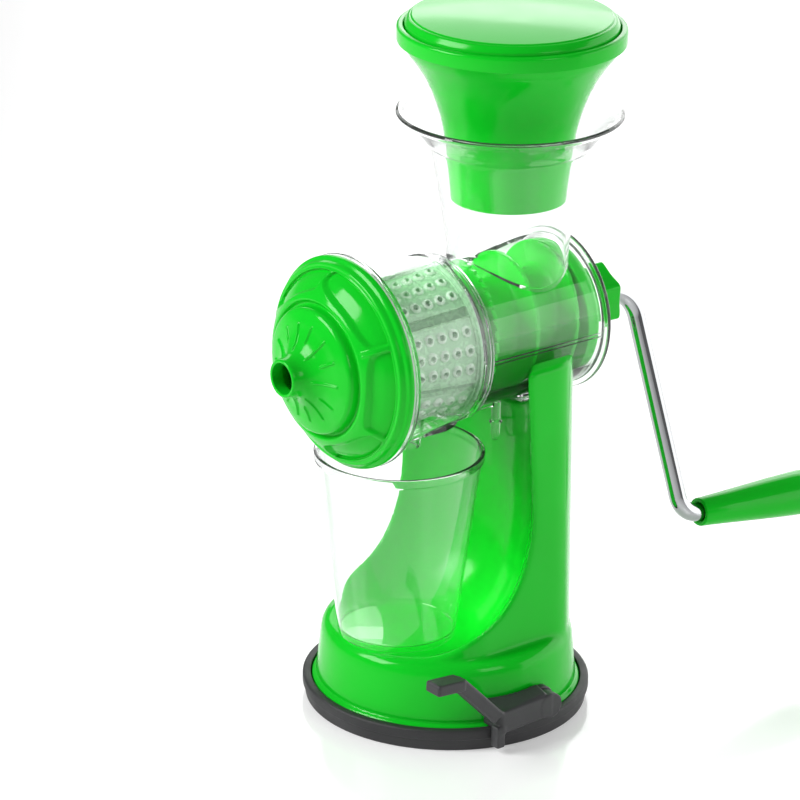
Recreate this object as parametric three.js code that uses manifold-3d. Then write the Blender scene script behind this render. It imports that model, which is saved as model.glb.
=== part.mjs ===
// Hand-crank fruit and vegetable juicer on a suction base, with its collecting cup.
// Millimetres, +Z up. The origin is the centre of the underside. The feed barrel lies
// along Y: the pulp nozzle points to -Y, the crank is at +Y, the suction lever at +X.
import * as THREE from "three";
import { mergeVertices } from "three/addons/utils/BufferGeometryUtils.js";
import Module from "manifold-3d";

const wasm = await Module();
wasm.setup();

// ---------------------------------------------------------------- driving dimensions
const GAP = 0.3; // clearance between touching pieces
const SIDES = 28; // facets round a large turned piece
const SMALL_SIDES = 12; // facets round a pin, screw or bore

const FOOT_R = 63.2; // rubber foot
const FOOT_TOP = 9.8;
const FOOT_FLOOR = 3.0; // top of the rubber web
const FLANGE_R = 59.1; // bottom flange of the drum
const DRUM_BOTTOM = FOOT_FLOOR + GAP;
const DRUM_TOP = 36.6;
const DRUM_WALL = 2.4;

const COLUMN_HALF = 46; // planar sides at x = +-46
const COLUMN_BACK_R = 54; // round back, about the drum axis
const COLUMN_FRONT_R = 50.5; // outline of the cradle in front
const COLUMN_TOP = 162.6;
const COLUMN_DRAFT = 0.00024; // the back leans in by this share per mm of height
const COLUMN_WALL = 3;
const CUP_Y = -28; // cup axis, and the axis of the column's hollow front
const HOLLOW_R = 58.3; // radius of the hollow front just above the swoop
const HOLLOW_TAPER = 0.044; // the hollow narrows by this much per mm above the swoop
const SWOOP_TOP = 97; // height where the front starts to swoop forward
const SWOOP_REACH = 31.3; // how much the hollow narrows down to the drum top

const BARREL_Z = 168.8; // height of the barrel axis
const BARREL_R = 33.4;
const BARREL_BORE = 31.9;
const BARREL_FRONT = -8.7;
const REAR_FACE = 59.4;
const REAR_DISC_R = 36;
const REAR_DISC_THICK = 2;
const SADDLE_R = 36.2; // notch in the column that the barrel lies in

const HOPPER_Y = 29.8;
const HOPPER_WALL = 1.5;
const HOPPER_RIM_Z = 263.2;
const THROAT_R = 25;

const COLLAR_R = 36.3;
const COLLAR_BACK = -5.8;
const CHAMBER_FRONT = -55.3;
const CHAMBER_FLANGE_R = 46.3;
const CHAMBER_WALL = 2;
const TROUGH_R = 39.9;
const TROUGH_HALF = 16;
const SPOUT_Y = -24;
const SPOUT_R = 6;
const SPOUT_BORE = 4.2;
const SPOUT_BOTTOM = 122.7;

const CAP_R = 46.2;
const CAP_BACK = -56.9;
const NOZZLE_TIP = -91.8;
const NOZZLE_BORE = 6.8;

const SHAFT_R = 5;
const SHAFT_FRONT = 30;
const SHAFT_BACK = 74;
const AUGER_R = 31.2;
const AUGER_CORE_R = 20;
const AUGER_PITCH = 22;
const AUGER_DISC_FRONT = 50;
const AUGER_BACK = 57;
const AUGER_RECESS = 53.6; // floor of the recess round the shaft bush
const FLIGHT_FRONT = -44;

const NUT_FRONT = REAR_FACE + GAP;
const NUT_LOBES_FRONT = 73;
const NUT_BACK = 87;
const NUT_R = 12.3;
const NUT_LOBE = 1.4;

const ROD_R = 4;
const CRANK_ANGLE = THREE.MathUtils.degToRad(15); // from straight down towards +X
const CRANK_LEAN = THREE.MathUtils.degToRad(6.1); // outwards, away from the barrel
const CRANK_ARM = 108;
const CRANK_CORNER_Y = 101;
const GRIP_DROOP = THREE.MathUtils.degToRad(4.8);
const GRIP_START = 9.6; // from the corner of the rod
const GRIP_LENGTH = 72;

const CUP_BOTTOM = DRUM_TOP + GAP;
const CUP_RIM_Z = 122.1;
const CUP_BASE_R = 26.6;
const CUP_RIM_R = 37;
const CUP_WALL = 1.5;

const PUSHER_BOTTOM = 222.5;
const PUSHER_FLANGE_R = 49.2;

const PIVOT_Y = 6.2; // lever shaft
const PIVOT_Z = 15.2;
const CAM_OFFSET = 3; // lift of the suction stem
const LEVER_INSIDE = 59.6;
const LEVER_OUTSIDE = 65.5;
const LEVER_HALF_HEIGHT = 4.8;
const SCREW_RING_R = 50;

// ---------------------------------------------------------------- materials
function plastic(color, roughness, opacity = 1) {
  return new THREE.MeshStandardMaterial({
    color, roughness, metalness: 0, opacity, transparent: opacity < 1,
  });
}

const GREEN = plastic(0x2fc928, 0.2);
const CHARCOAL = plastic(0x3a3a3d, 0.5);
const RUBBER = plastic(0x37373a, 0.65);
const CLEAR = plastic(0xe4efe8, 0.06, 0.3);
const FROSTED = plastic(0xd8ead8, 0.4, 0.7);
const NYLON = plastic(0xe6e6e0, 0.45);
const SILICONE = plastic(0xdcdcdc, 0.6);
const CHROME = new THREE.MeshStandardMaterial({ color: 0xd8dadd, roughness: 0.1, metalness: 1 });

// ---------------------------------------------------------------- solid helpers
function manifoldOf(geometry) {
  const bare = geometry.clone();
  bare.deleteAttribute("normal");
  bare.deleteAttribute("uv");
  const merged = mergeVertices(bare, 1e-4);
  const index = merged.index.array;
  const kept = [];
  for (let i = 0; i < index.length; i += 3) {
    const [a, b, c] = [index[i], index[i + 1], index[i + 2]];
    if (a !== b && b !== c && c !== a) {
      kept.push(a, b, c);
    }
  }
  return new wasm.Manifold(new wasm.Mesh({
    numProp: 3,
    vertProperties: new Float32Array(merged.attributes.position.array),
    triVerts: new Uint32Array(kept),
  }));
}

function geometryOf(solid) {
  const { numProp, vertProperties, triVerts } = solid.getMesh();
  const geometry = new THREE.BufferGeometry();
  geometry.setAttribute("position", new THREE.BufferAttribute(vertProperties, numProp));
  geometry.setIndex(new THREE.BufferAttribute(triVerts, 1));
  geometry.computeVertexNormals();
  return geometry;
}

const vectors = (points) => points.map(([r, h]) => new THREE.Vector2(r, h));

// A profile of [radius, height] turned about the vertical line through (x, y).
function turnedZ(points, x = 0, y = 0, sides = SIDES) {
  const geometry = new THREE.LatheGeometry(vectors(points), sides);
  geometry.rotateX(Math.PI / 2);
  geometry.translate(x, y, 0);
  return manifoldOf(geometry);
}

// A profile of [radius, y] turned about the barrel axis.
function turnedY(points, sides = SIDES) {
  const geometry = new THREE.LatheGeometry(vectors(points), sides);
  geometry.translate(0, 0, BARREL_Z);
  return manifoldOf(geometry);
}

// A profile of [radius, x] turned about the lever shaft's axis.
function turnedX(points, sides = SMALL_SIDES) {
  const geometry = new THREE.LatheGeometry(vectors(points), sides);
  geometry.rotateZ(-Math.PI / 2);
  geometry.translate(0, PIVOT_Y, PIVOT_Z);
  return manifoldOf(geometry);
}

// The profile of a plain rod of radius r between two heights.
const rodProfile = (r, low, high) => [[0, low], [r, low], [r, high], [0, high]];

// The profile of a plain ring.
const ringProfile = (inner, outer, low, high) => [
  [inner, low], [outer, low], [outer, high], [inner, high], [inner, low],
];

function block([x0, y0, z0], [x1, y1, z1]) {
  const geometry = new THREE.BoxGeometry(x1 - x0, y1 - y0, z1 - z0);
  geometry.translate((x0 + x1) / 2, (y0 + y1) / 2, (z0 + z1) / 2);
  return manifoldOf(geometry);
}

// An outline of [y, z] points extruded along X.
function plateX(shape, x0, x1) {
  const geometry = new THREE.ExtrudeGeometry(shape, { depth: x1 - x0, bevelEnabled: false });
  geometry.applyMatrix4(new THREE.Matrix4().set(
    0, 0, 1, x0,
    1, 0, 0, 0,
    0, 1, 0, 0,
    0, 0, 0, 1,
  ));
  return manifoldOf(geometry);
}

function union(first, ...others) {
  return others.reduce((sum, next) => sum.add(next), first);
}

function cut(first, ...others) {
  return others.reduce((rest, next) => rest.subtract(next), first);
}

const group = new THREE.Group();

function add(name, solid, material) {
  const mesh = new THREE.Mesh(geometryOf(solid), material);
  mesh.name = name;
  group.add(mesh);
}

// ---------------------------------------------------------------- suction base
function screwPlaces() {
  return [45, 135, 225, 315].map((degrees) => {
    const angle = THREE.MathUtils.degToRad(degrees);
    return [SCREW_RING_R * Math.cos(angle), SCREW_RING_R * Math.sin(angle)];
  });
}

function suctionPad() {
  return turnedZ([
    [0, 0], [62, 0], [62.5, 5], [FOOT_R, 5.6], [FOOT_R, 9.2], [62.6, FOOT_TOP],
    [59.5, FOOT_TOP], [59.5, FOOT_FLOOR], [0, FOOT_FLOOR],
  ]);
}

function basePlate() {
  const low = DRUM_BOTTOM + 0.1;
  const high = low + 3;
  const bearing = block([12, PIVOT_Y - 6, high - 0.5], [18, PIVOT_Y + 6, PIVOT_Z + 6]);
  const disc = turnedZ(ringProfile(6.5, 55.2, low, high));
  const plate = union(disc, bearing);
  const holes = screwPlaces().map(([x, y]) => turnedZ(
    [[0, 0], [4.7, 0], [4.7, low + 0.4], [2.2, low + 2.6], [2.2, 8], [0, 8]],
    x, y, SMALL_SIDES,
  ));
  return cut(plate, turnedX(rodProfile(2.8, 10, 20)), ...holes);
}

function baseScrew([x, y]) {
  const head = DRUM_BOTTOM + 0.2;
  return turnedZ(
    [[0, head], [4.1, head], [1.8, head + 2.2], [1.8, 16], [0, 16]], x, y, SMALL_SIDES,
  );
}

function suctionStem() {
  const slotLow = PIVOT_Z - CAM_OFFSET - 3;
  const yoke = block([-4, -4, slotLow - 2.2], [4, PIVOT_Y + 8.4, slotLow + 8.2]);
  const slot = block([-5, PIVOT_Y - 6, slotLow], [5, PIVOT_Y + 6, slotLow + 6]);
  const foot = turnedZ(
    [[0, 3.3], [5.8, 3.3], [5.8, 4.6], [5, slotLow - 1], [0, slotLow - 1]],
    0, 0, SMALL_SIDES,
  );
  return cut(union(yoke, foot), slot);
}

// Lever shaft with a crank pin that runs in the stem's slot.
function camShaft() {
  const web = turnedX(rodProfile(5.4, 5, 8));
  const pin = turnedX(rodProfile(2.2, -5, 6)).translate([0, 0, -CAM_OFFSET]);
  return union(turnedX(rodProfile(2.5, 7, 63)), web, pin);
}

function leverBush() {
  const plate = cut(
    turnedX(rodProfile(8.5, 57.2, 59.3), 32),
    block([50, -20, 0], [65, 30, 12.9]),
  );
  const sleeve = turnedX(rodProfile(4.2, 50, 58));
  return cut(union(plate, sleeve), turnedX(rodProfile(2.8, 40, 65)));
}

function lever() {
  const top = PIVOT_Z + LEVER_HALF_HEIGHT;
  const bottom = PIVOT_Z - LEVER_HALF_HEIGHT;
  const side = new THREE.Shape();
  side.moveTo(PIVOT_Y, top);
  side.lineTo(-22, top);
  side.lineTo(-43.5, 39.8);
  side.lineTo(-46, 41.4);
  side.lineTo(-58.4, 41.4);
  side.lineTo(-60, 39.4);
  side.lineTo(-58.4, 37.4);
  side.lineTo(-46, 36.8);
  side.lineTo(-25.4, 14);
  side.lineTo(-23.8, 11);
  side.lineTo(-23.8, 3);
  side.lineTo(-19.4, 3);
  side.lineTo(-19.4, bottom);
  side.lineTo(PIVOT_Y, bottom);
  side.absarc(PIVOT_Y, PIVOT_Z, LEVER_HALF_HEIGHT, -Math.PI / 2, Math.PI / 2, false);
  const body = plateX(side, LEVER_INSIDE, LEVER_OUTSIDE);
  const shoulder = block([57.4, -22, 13.2], [LEVER_INSIDE + 0.5, -3.2, top]);
  const footRoom = turnedZ(rodProfile(FOOT_R + GAP, 0, FOOT_TOP + GAP), 0, 0, 56);
  return cut(union(body, shoulder), turnedX(rodProfile(2.8, 50, 63.3)), footRoom);
}

// ---------------------------------------------------------------- base shell
// The hollow front of the column: a turned cutter about the cup axis whose radius
// shrinks along a quarter ellipse from the swoop down to the drum top.
function hollowCutter(grow) {
  const steps = 7;
  const drop = SWOOP_TOP - DRUM_TOP;
  const points = [[0, DRUM_TOP - 0.5]];
  for (let i = 0; i <= steps; i += 1) {
    const angle = (i / steps) ** 1.5 * (Math.PI / 2);
    const radius = HOLLOW_R - SWOOP_REACH * (1 - Math.sin(angle));
    points.push([radius + grow, SWOOP_TOP - drop * Math.cos(angle)]);
  }
  points.push([HOLLOW_R - HOLLOW_TAPER * (200 - SWOOP_TOP) + grow, 200]);
  points.push([0, 200]);
  return turnedZ(points, 0, CUP_Y, 44);
}

// The column's outline from above: flat sides, round back, rounder front.
function columnBlank(inset, low, high) {
  const half = COLUMN_HALF - inset;
  const backR = COLUMN_BACK_R - inset;
  const frontR = COLUMN_FRONT_R - inset;
  const backAngle = Math.acos(half / backR);
  const frontAngle = Math.acos(half / frontR);
  const outline = new THREE.Shape();
  outline.absarc(0, 0, backR, backAngle, Math.PI - backAngle, false);
  outline.absarc(0, 0, frontR, Math.PI + frontAngle, 2 * Math.PI - frontAngle, false);
  const geometry = new THREE.ExtrudeGeometry(outline, {
    depth: high - low, bevelEnabled: false, curveSegments: 8,
  });
  geometry.translate(0, 0, low);
  const place = geometry.attributes.position;
  for (let i = 0; i < place.count; i += 1) {
    const lean = 1 - COLUMN_DRAFT * Math.max(0, place.getZ(i) - DRUM_TOP);
    place.setY(i, place.getY(i) * (place.getY(i) > 0 ? lean : 1));
  }
  return manifoldOf(geometry);
}

function saddleCutter(radius) {
  return turnedY(rodProfile(radius, -80, 80));
}

function baseShell() {
  const drum = turnedZ([
    [0, DRUM_BOTTOM], [FLANGE_R, DRUM_BOTTOM], [FLANGE_R, 10.2], [58.3, 11.4],
    [57, 12.4], [55.2, 31], [53.6, 34.8], [50.6, DRUM_TOP], [0, DRUM_TOP],
  ]);
  const drumRoom = turnedZ([
    [0, 0], [56.9, 0], [56.9, DRUM_BOTTOM], [54.6, 12.4], [52.8, 30.5],
    [49.8, DRUM_TOP - DRUM_WALL], [0, DRUM_TOP - DRUM_WALL],
  ]);
  const column = cut(
    columnBlank(0, DRUM_TOP - 1, COLUMN_TOP), hollowCutter(0), saddleCutter(SADDLE_R),
  );
  const columnRoom = cut(
    columnBlank(COLUMN_WALL, DRUM_TOP - DRUM_WALL - 1, COLUMN_TOP - COLUMN_WALL),
    hollowCutter(COLUMN_WALL),
    saddleCutter(SADDLE_R + COLUMN_WALL),
  );
  const bosses = screwPlaces().map(
    ([x, y]) => turnedZ(rodProfile(5, 6.8, 30), x, y, SMALL_SIDES),
  );
  const pilots = screwPlaces().map(
    ([x, y]) => turnedZ(rodProfile(2.1, 0, 17), x, y, SMALL_SIDES),
  );
  const shell = union(cut(union(drum, column), drumRoom, columnRoom), ...bosses);
  const shaftHole = turnedX(rodProfile(4.5, 48, 65));
  const headHoles = headScrewPlaces().map(
    (y) => turnedZ(rodProfile(2.3, 120, 140), 0, y, SMALL_SIDES),
  );
  return cut(shell, ...pilots, shaftHole, ...headHoles);
}

// ---------------------------------------------------------------- head
function headScrewPlaces() {
  return [36.5, 44.5];
}

function headScrew(y) {
  const floor = BARREL_Z - SADDLE_R - COLUMN_WALL;
  return turnedZ([
    [0, floor - 2.8], [3.8, floor - 2.8], [3.8, floor - 0.4], [1.9, floor - 0.4],
    [1.9, 136], [0, 136],
  ], 0, y, SMALL_SIDES);
}

function feedBarrel() {
  const shell = turnedY([
    [BARREL_BORE, BARREL_FRONT], [BARREL_R, BARREL_FRONT],
    [BARREL_R, REAR_FACE - REAR_DISC_THICK], [REAR_DISC_R, REAR_FACE - REAR_DISC_THICK],
    [REAR_DISC_R, REAR_FACE], [9.4, REAR_FACE], [9.4, REAR_FACE - REAR_DISC_THICK],
    [BARREL_BORE, REAR_FACE - REAR_DISC_THICK], [BARREL_BORE, BARREL_FRONT],
  ]);
  const bottom = BARREL_Z - BARREL_R;
  const foot = block([-9, 33.5, BARREL_Z - SADDLE_R], [9, 50.5, bottom + 1.2])
    .intersect(saddleCutter(SADDLE_R - GAP - 0.1));
  const web = block([-1.2, 14, 129.8], [1.2, 27.5, bottom + 1]);
  const peg = turnedZ(rodProfile(2, 113.4, 131), 0, 25.6, SMALL_SIDES);
  const throat = turnedZ(rodProfile(THROAT_R, 180, 215), 0, HOPPER_Y);
  const pilots = headScrewPlaces().map(
    (y) => turnedZ(rodProfile(2.2, 130, 136.3), 0, y, SMALL_SIDES),
  );
  return cut(union(shell, foot, web, peg), throat, ...pilots);
}

function feedHopper() {
  const outer = [
    [26.6, 186.6], [26.6, 200], [28.8, 218], [34, 246], [38, 252.2], [43, 257.8],
    [47.4, 261.6], [48.8, HOPPER_RIM_Z],
  ];
  const inner = outer.slice(0, 7).reverse().map(([r, z]) => [r - HOPPER_WALL, z + 0.5]);
  const funnel = turnedZ([...outer, ...inner, outer[0]], 0, HOPPER_Y);
  return cut(funnel, saddleCutter(BARREL_R + GAP));
}

function juiceChamber() {
  const half = CHAMBER_WALL;
  const outside = turnedY([
    [0, CHAMBER_FRONT], [CHAMBER_FLANGE_R, CHAMBER_FRONT],
    [CHAMBER_FLANGE_R, CHAMBER_FRONT + 1.7], [41.2, CHAMBER_FRONT + 1.7],
    [36.4, -13], [COLLAR_R, -6.8], [35.6, COLLAR_BACK], [0, COLLAR_BACK],
  ]);
  const inside = turnedY([
    [0, CHAMBER_FRONT - 1], [39.2, CHAMBER_FRONT - 1], [39.2, -50.4],
    [34.5, -14], [34.2, -8.9], [BARREL_R + GAP, -8.9],
    [BARREL_R + GAP, COLLAR_BACK + 1], [0, COLLAR_BACK + 1],
  ]);
  const trough = turnedY([
    [0, CHAMBER_FRONT + 1], [TROUGH_R, CHAMBER_FRONT + 1], [TROUGH_R, -15],
    [TROUGH_R - 1.3, -11], [TROUGH_R - 3.8, -7], [0, -7],
  ]).intersect(block([-TROUGH_HALF, -60, 100], [TROUGH_HALF, 0, BARREL_Z]));
  const troughRoom = turnedY([
    [0, CHAMBER_FRONT - 1], [TROUGH_R - half, CHAMBER_FRONT - 1],
    [TROUGH_R - half, -17], [TROUGH_R - half - 3, -13.5], [0, -13.5],
  ]).intersect(block([2 - TROUGH_HALF, -60, 100], [TROUGH_HALF - 2, 0, BARREL_Z]));
  const spout = turnedZ(rodProfile(SPOUT_R, SPOUT_BOTTOM, 134), 0, SPOUT_Y, 24);
  const spoutBore = turnedZ(rodProfile(SPOUT_BORE, 115, 136), 0, SPOUT_Y, 24);
  return cut(union(outside, trough, spout), inside, troughRoom, spoutBore);
}

function meshFilter() {
  const shell = turnedY([
    [22.6, -50], [27, -50], [31.4, -13], [33.8, -13], [33.8, -10.2], [30, -10.2],
    [29.9, -13], [25.7, -48.4], [22.6, -48.4], [22.6, -50],
  ]);
  const holes = [];
  for (let column = 0; column < 8; column += 1) {
    for (let row = 0; row < 3; row += 1) {
      const hole = new THREE.CylinderGeometry(1.8, 1.8, 20, 4);
      hole.rotateX(Math.PI / 2);
      hole.translate(0, -18 - row * 11, 28);
      hole.rotateY(((column + 0.5) / 8) * 2 * Math.PI);
      hole.translate(0, 0, BARREL_Z);
      holes.push(manifoldOf(hole));
    }
  }
  return cut(shell, ...holes);
}

function frontCap() {
  return turnedY([
    [8.1, NOZZLE_TIP], [8.8, -87.5], [11.5, -83], [17, -79.4], [27.7, -75.9],
    [28.4, -73.8], [36.5, -68.8], [43, -60], [CAP_R, -59.2], [CAP_R, CAP_BACK],
    [38.7, CAP_BACK], [38.7, -51], [36.9, -51], [36.9, -59.4], [34.6, -66.6],
    [28.6, -70.8], [22.2, -74.2], [22.2, -47], [20.8, -47], [20.8, -75.4],
    [9.6, -81.4], [NOZZLE_BORE, -86], [NOZZLE_BORE, NOZZLE_TIP],
    [8.1, NOZZLE_TIP],
  ]);
}

// ---------------------------------------------------------------- auger and drive
// One helical flight, wound round the auger's core and rooted inside it.
function augerFlight() {
  const perTurn = 12;
  const length = AUGER_DISC_FRONT + 0.5 - FLIGHT_FRONT;
  const steps = Math.round((length / AUGER_PITCH) * perTurn);
  const positions = [];
  for (let i = 0; i <= steps; i += 1) {
    const y = FLIGHT_FRONT + (length * i) / steps;
    const angle = (2 * Math.PI * (y - FLIGHT_FRONT)) / AUGER_PITCH;
    const tip = y > -7.5 ? AUGER_R : 29.2 + 0.1186 * (y + 13);
    for (const [radius, offset] of [[4, -1.6], [tip, -1], [tip, 1], [4, 1.6]]) {
      positions.push(radius * Math.cos(angle), y + offset, radius * Math.sin(angle));
    }
  }
  const index = [0, 2, 1, 0, 3, 2];
  for (let i = 0; i < steps; i += 1) {
    for (let k = 0; k < 4; k += 1) {
      const a = 4 * i + k;
      const b = 4 * i + ((k + 1) % 4);
      index.push(a, b, b + 4, a, b + 4, a + 4);
    }
  }
  const last = 4 * steps;
  index.push(last, last + 1, last + 2, last, last + 2, last + 3);
  const geometry = new THREE.BufferGeometry();
  geometry.setAttribute("position", new THREE.Float32BufferAttribute(positions, 3));
  geometry.setIndex(index);
  geometry.translate(0, 0, BARREL_Z);
  return manifoldOf(geometry);
}

function auger() {
  const core = turnedY([
    [0, -58], [4, -57.4], [9.5, -50], [13, -40], [17, -22], [AUGER_CORE_R, -5],
    [AUGER_CORE_R, AUGER_DISC_FRONT], [31.4, AUGER_DISC_FRONT], [31.4, 55],
    [30, AUGER_BACK], [13, AUGER_BACK], [13, AUGER_RECESS], [0, AUGER_RECESS],
  ], 28);
  const socket = turnedY(rodProfile(SHAFT_R + GAP, SHAFT_FRONT - GAP, 60), SMALL_SIDES);
  return cut(union(core, augerFlight()), socket);
}

function driveNut() {
  const outline = new THREE.Shape();
  const points = [];
  for (let i = 0; i < 40; i += 1) {
    const angle = (i / 40) * 2 * Math.PI;
    const radius = NUT_R + NUT_LOBE * Math.cos(4 * angle);
    points.push(new THREE.Vector2(radius * Math.cos(angle), radius * Math.sin(angle)));
  }
  outline.setFromPoints(points);
  const lobes = new THREE.ExtrudeGeometry(outline, {
    depth: NUT_BACK - NUT_LOBES_FRONT, bevelEnabled: false,
  });
  lobes.rotateX(-Math.PI / 2);
  lobes.translate(0, NUT_LOBES_FRONT, BARREL_Z);
  const neck = turnedY(rodProfile(10, NUT_FRONT, NUT_LOBES_FRONT + 1), 28);
  const shaftSocket = turnedY(
    rodProfile(SHAFT_R + GAP, NUT_FRONT - 1, SHAFT_BACK + GAP), SMALL_SIDES,
  );
  const rodSocket = turnedY(rodProfile(ROD_R + GAP, 76.2, NUT_BACK + 1), SMALL_SIDES);
  return cut(union(manifoldOf(lobes), neck), shaftSocket, rodSocket);
}

// Directions and corners of the cranked rod, which lies in one plane.
function crankLine() {
  const outward = new THREE.Vector3(0, 1, 0);
  const away = new THREE.Vector3(Math.sin(CRANK_ANGLE), 0, -Math.cos(CRANK_ANGLE));
  const arm = away.clone().multiplyScalar(Math.cos(CRANK_LEAN));
  arm.addScaledVector(outward, Math.sin(CRANK_LEAN));
  const grip = outward.clone().multiplyScalar(Math.cos(GRIP_DROOP));
  grip.addScaledVector(away, Math.sin(GRIP_DROOP));
  const first = new THREE.Vector3(0, CRANK_CORNER_Y, BARREL_Z);
  const second = first.clone().addScaledVector(arm, CRANK_ARM);
  return { outward, arm, grip, first, second };
}

function crankRod() {
  const { outward, arm, grip, first, second } = crankLine();
  const upperBend = 14;
  const lowerBend = 9;
  const start = new THREE.Vector3(0, 76.6, BARREL_Z);
  const bend = (corner, before, after, reach) => new THREE.QuadraticBezierCurve3(
    corner.clone().addScaledVector(before, -reach), corner,
    corner.clone().addScaledVector(after, reach),
  );
  const upper = bend(first, outward, arm, upperBend);
  const lower = bend(second, arm, grip, lowerBend);
  const end = second.clone().addScaledVector(grip, GRIP_START + 63);
  const path = new THREE.CurvePath();
  path.add(new THREE.LineCurve3(start, upper.v0));
  path.add(upper);
  path.add(new THREE.LineCurve3(upper.v2, lower.v0));
  path.add(lower);
  path.add(new THREE.LineCurve3(lower.v2, end));
  const section = new THREE.Shape();
  section.absarc(0, 0, ROD_R, 0, 2 * Math.PI, false);
  return manifoldOf(new THREE.ExtrudeGeometry(section, {
    extrudePath: path, steps: 40, curveSegments: 5, bevelEnabled: false,
  }));
}

// A profile of [radius, distance from the grip's mouth] turned about the grip's axis.
function turnedGrip(points, sides = 28) {
  const { grip, second } = crankLine();
  const geometry = new THREE.LatheGeometry(vectors(points), sides);
  const turn = new THREE.Quaternion().setFromUnitVectors(new THREE.Vector3(0, 1, 0), grip);
  geometry.applyQuaternion(turn);
  const mouth = second.clone().addScaledVector(grip, GRIP_START);
  geometry.translate(mouth.x, mouth.y, mouth.z);
  return manifoldOf(geometry);
}

function crankGrip() {
  return turnedGrip([
    [ROD_R + GAP, 0], [5.9, 0], [6.5, 0.8], [8.1, 26], [9.9, 54], [10.3, 61],
    [9.9, 66.5], [7.4, 66.5], [7.4, 59], [ROD_R + GAP, 59], [ROD_R + GAP, 0],
  ]);
}

function gripCap() {
  return turnedGrip([
    [0, 65], [7.1, 65], [7.1, 66.8], [9.8, 66.8], [9.2, 69.4], [7, 71.4],
    [3.5, GRIP_LENGTH], [0, GRIP_LENGTH],
  ]);
}

// ---------------------------------------------------------------- pusher and cup
function pusherBody() {
  return turnedZ([
    [0, PUSHER_BOTTOM], [23.9, PUSHER_BOTTOM], [25, 224.5], [27.6, 250], [30.5, 264],
    [34.6, 276], [39.4, 283.6], [PUSHER_FLANGE_R, 295.4], [PUSHER_FLANGE_R, 301.8],
    [46.2, 301.8], [46.2, 299.2], [44.2, 299.2], [32.4, 277], [25.4, 250],
    [23, 224.9], [0, 224.9],
  ], 0, HOPPER_Y);
}

function pusherLid() {
  return turnedZ([
    [0, 299.5], [45.9, 299.5], [45.9, 302.8], [44.4, 304], [32, 306.7], [0, 308.3],
  ], 0, HOPPER_Y);
}

function juiceCup() {
  return turnedZ([
    [0, CUP_BOTTOM], [CUP_BASE_R - 1, CUP_BOTTOM], [CUP_BASE_R, CUP_BOTTOM + 1],
    [36, 117.6], [CUP_RIM_R, 118.6], [CUP_RIM_R, CUP_RIM_Z - 0.8],
    [36.4, CUP_RIM_Z], [34.9, CUP_RIM_Z], [34.5, 117.6],
    [CUP_BASE_R - CUP_WALL, CUP_BOTTOM + 2.2], [0, CUP_BOTTOM + 2.2],
  ], 0, CUP_Y);
}

// ---------------------------------------------------------------- assembly
add("suction_pad", suctionPad(), RUBBER);
add("base_shell", baseShell(), GREEN);
add("base_plate", basePlate(), CHARCOAL);
screwPlaces().forEach((place, i) => add(`base_screw_${i + 1}`, baseScrew(place), CHROME));
add("suction_stem", suctionStem(), CHARCOAL);
add("cam_shaft", camShaft(), CHROME);
add("lever_bush", leverBush(), CHARCOAL);
add("suction_lever", lever(), CHARCOAL);

add("feed_barrel", feedBarrel(), CLEAR);
add("feed_hopper", feedHopper(), CLEAR);
headScrewPlaces().forEach((y, i) => add(`head_screw_${i + 1}`, headScrew(y), CHROME));
add("shaft_bush", turnedY([
  [SHAFT_R + 0.3, 55.3], [12, 55.3], [12, 57.1], [9.1, 57.1], [9.1, REAR_FACE],
  [SHAFT_R + 0.3, REAR_FACE], [SHAFT_R + 0.3, 55.3],
], 32), NYLON);
add("juice_chamber", juiceChamber(), CLEAR);
add("mesh_filter", meshFilter(), FROSTED);
add("filter_seal", turnedY(ringProfile(30.6, 33.3, -9.9, -9)), SILICONE);

add("cap_gasket", turnedY(ringProfile(39.8, 45.2, -56.7, -55.5)), SILICONE);
add("front_cap", frontCap(), GREEN);

add("auger", auger(), GREEN);
add("auger_shaft", turnedY(rodProfile(SHAFT_R, SHAFT_FRONT, SHAFT_BACK), SMALL_SIDES), CHROME);
add("shaft_washer", turnedY(ringProfile(SHAFT_R + GAP, 10.5, 53.9, 55), 28), SILICONE);
add("drive_nut", driveNut(), GREEN);
add("crank_rod", crankRod(), CHROME);
add("grip_washer", turnedGrip(ringProfile(ROD_R + GAP, 6.6, 60.4, 61.9), SMALL_SIDES), CHROME);
add("crank_grip", crankGrip(), GREEN);
add("grip_cap", gripCap(), GREEN);

add("pusher_body", pusherBody(), GREEN);
add("pusher_lid", pusherLid(), GREEN);
add("juice_cup", juiceCup(), CLEAR);

export default group;
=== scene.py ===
"""Looks of the hand-crank juicer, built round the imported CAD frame. Sizes in the tables are mm."""

import itertools
import math

import bpy
import numpy as np
from mathutils import Matrix, Vector


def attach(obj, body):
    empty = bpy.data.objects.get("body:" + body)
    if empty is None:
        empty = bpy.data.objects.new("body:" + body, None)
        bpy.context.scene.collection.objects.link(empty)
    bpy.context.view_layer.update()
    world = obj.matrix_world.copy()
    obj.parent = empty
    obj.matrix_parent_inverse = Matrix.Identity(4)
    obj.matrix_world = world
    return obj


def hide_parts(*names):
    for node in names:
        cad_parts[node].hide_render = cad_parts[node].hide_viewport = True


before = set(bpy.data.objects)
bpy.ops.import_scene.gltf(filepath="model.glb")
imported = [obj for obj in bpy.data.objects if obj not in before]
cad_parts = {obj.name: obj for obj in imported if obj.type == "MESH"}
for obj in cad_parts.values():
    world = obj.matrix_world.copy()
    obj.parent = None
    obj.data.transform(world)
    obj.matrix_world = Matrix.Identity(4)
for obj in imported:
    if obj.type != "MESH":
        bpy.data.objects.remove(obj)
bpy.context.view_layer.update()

MM = 0.001
TAU = 2 * math.pi

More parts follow.
